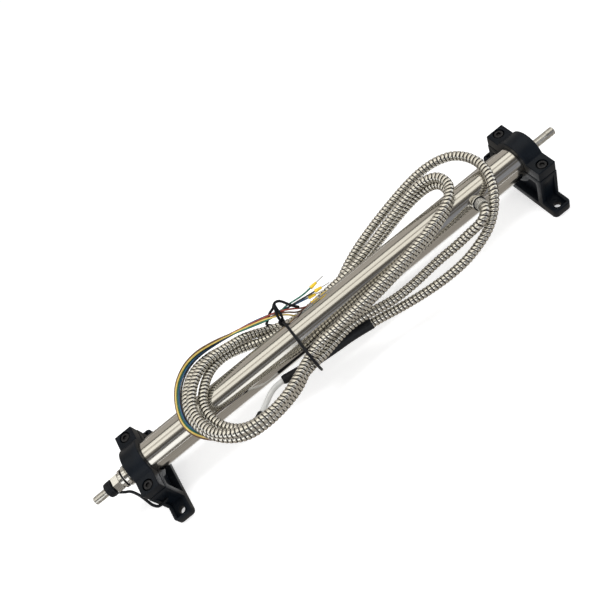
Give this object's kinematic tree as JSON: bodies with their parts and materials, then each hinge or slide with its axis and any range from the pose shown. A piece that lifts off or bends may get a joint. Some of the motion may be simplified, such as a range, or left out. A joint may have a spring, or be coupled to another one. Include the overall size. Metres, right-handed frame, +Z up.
{
  "type": "linear variable differential transformer",
  "caption": "Through-rod displacement transducer: steel tube on two moulded clamp brackets, sliding rod with core, flexible metal hose coiled on it and wire leads.",
  "frame": {"origin": "on the mounting plane under the feet, in the middle of the four foot holes, below the middle of the tube", "axes": "+X along the tube from the nut end to the plain end, +Z up from the mounting plane to the tube, the hose leaves on the -Y side"},
  "size_m": [0.5215, 0.1148, 0.0764],
  "materials": {
    "black_sleeve": "shrunk polyolefin, semi-matt",
    "bracket_black": "moulded, fine grain",
    "bright_nickel": "turned and polished",
    "bush_bronze": "sintered bronze",
    "enamelled_copper": "enamelled winding wire",
    "ferrule_black": "moulded collar on a tinned pin",
    "ferrule_blue": "moulded collar on a tinned pin",
    "ferrule_brown": "moulded collar on a tinned pin",
    "ferrule_green": "moulded collar on a tinned pin",
    "ferrule_red": "moulded collar on a tinned pin",
    "ferrule_yellow": "moulded collar on a tinned pin",
    "former_white": "machined polymer",
    "ground_rod": "centreless ground",
    "hose_steel": "interlocked stainless strip, satin",
    "nickel_iron": "annealed nickel-iron",
    "pale_sheath": "extruded, satin",
    "satin_stainless": "drawn and finely brushed along the tube",
    "screw_steel": "black oxide",
    "seal_rubber": "matt",
    "shield_steel": "rolled sleeve",
    "tie_black": "coated wire tie, satin",
    "wire_black": "extruded insulation",
    "wire_blue": "extruded insulation",
    "wire_brown": "extruded insulation",
    "wire_green": "extruded insulation",
    "wire_red": "extruded insulation",
    "wire_yellow": "extruded insulation"
  },
  "bodies": {
    "housing": {"cable_boss": "satin_stainless", "clamp_nuts": "screw_steel", "clamp_screws": "screw_steel", "coil_former": "former_white", "coil_tie": "tie_black", "ferrule_black": "ferrule_black", "ferrule_blue": "ferrule_blue", "ferrule_brown": "ferrule_brown", "ferrule_green": "ferrule_green", "ferrule_red": "ferrule_red", "ferrule_yellow": "ferrule_yellow", "front_end_cap": "bright_nickel", "front_former_spacer": "former_white", "front_gland_nut": "bright_nickel", "front_guide_bush": "bush_bronze", "front_wiper_seal": "seal_rubber", "heat_shrink_sleeve": "black_sleeve", "hose_ferrule": "bright_nickel", "housing_tube": "satin_stainless", "lead_breakout": "black_sleeve", "lead_hose": "hose_steel", "lead_sheath": "pale_sheath", "left_clamp_base": "bracket_black", "left_clamp_cap": "bracket_black", "magnetic_shield": "shield_steel", "primary_winding": "enamelled_copper", "rear_end_cap": "bright_nickel", "rear_former_spacer": "former_white", "rear_guide_bush": "bush_bronze", "rear_wiper_seal": "seal_rubber", "right_clamp_base": "bracket_black", "right_clamp_cap": "bracket_black", "rod_tie": "tie_black", "secondary_winding_a": "enamelled_copper", "secondary_winding_b": "enamelled_copper", "wire_black": "wire_black", "wire_blue": "wire_blue", "wire_brown": "wire_brown", "wire_green": "wire_green", "wire_red": "wire_red", "wire_yellow": "wire_yellow"},
    "rod": {"core_rod": "ground_rod", "sliding_core": "nickel_iron", "front_core_collar": "bush_bronze", "rear_core_collar": "bush_bronze"}
  },
  "joints": [
    {"name": "rod_slide", "type": "slide", "parent": "housing", "child": "rod", "axis": [1, 0, 0], "range_m": [-0.018, 0.018]}
  ]
}
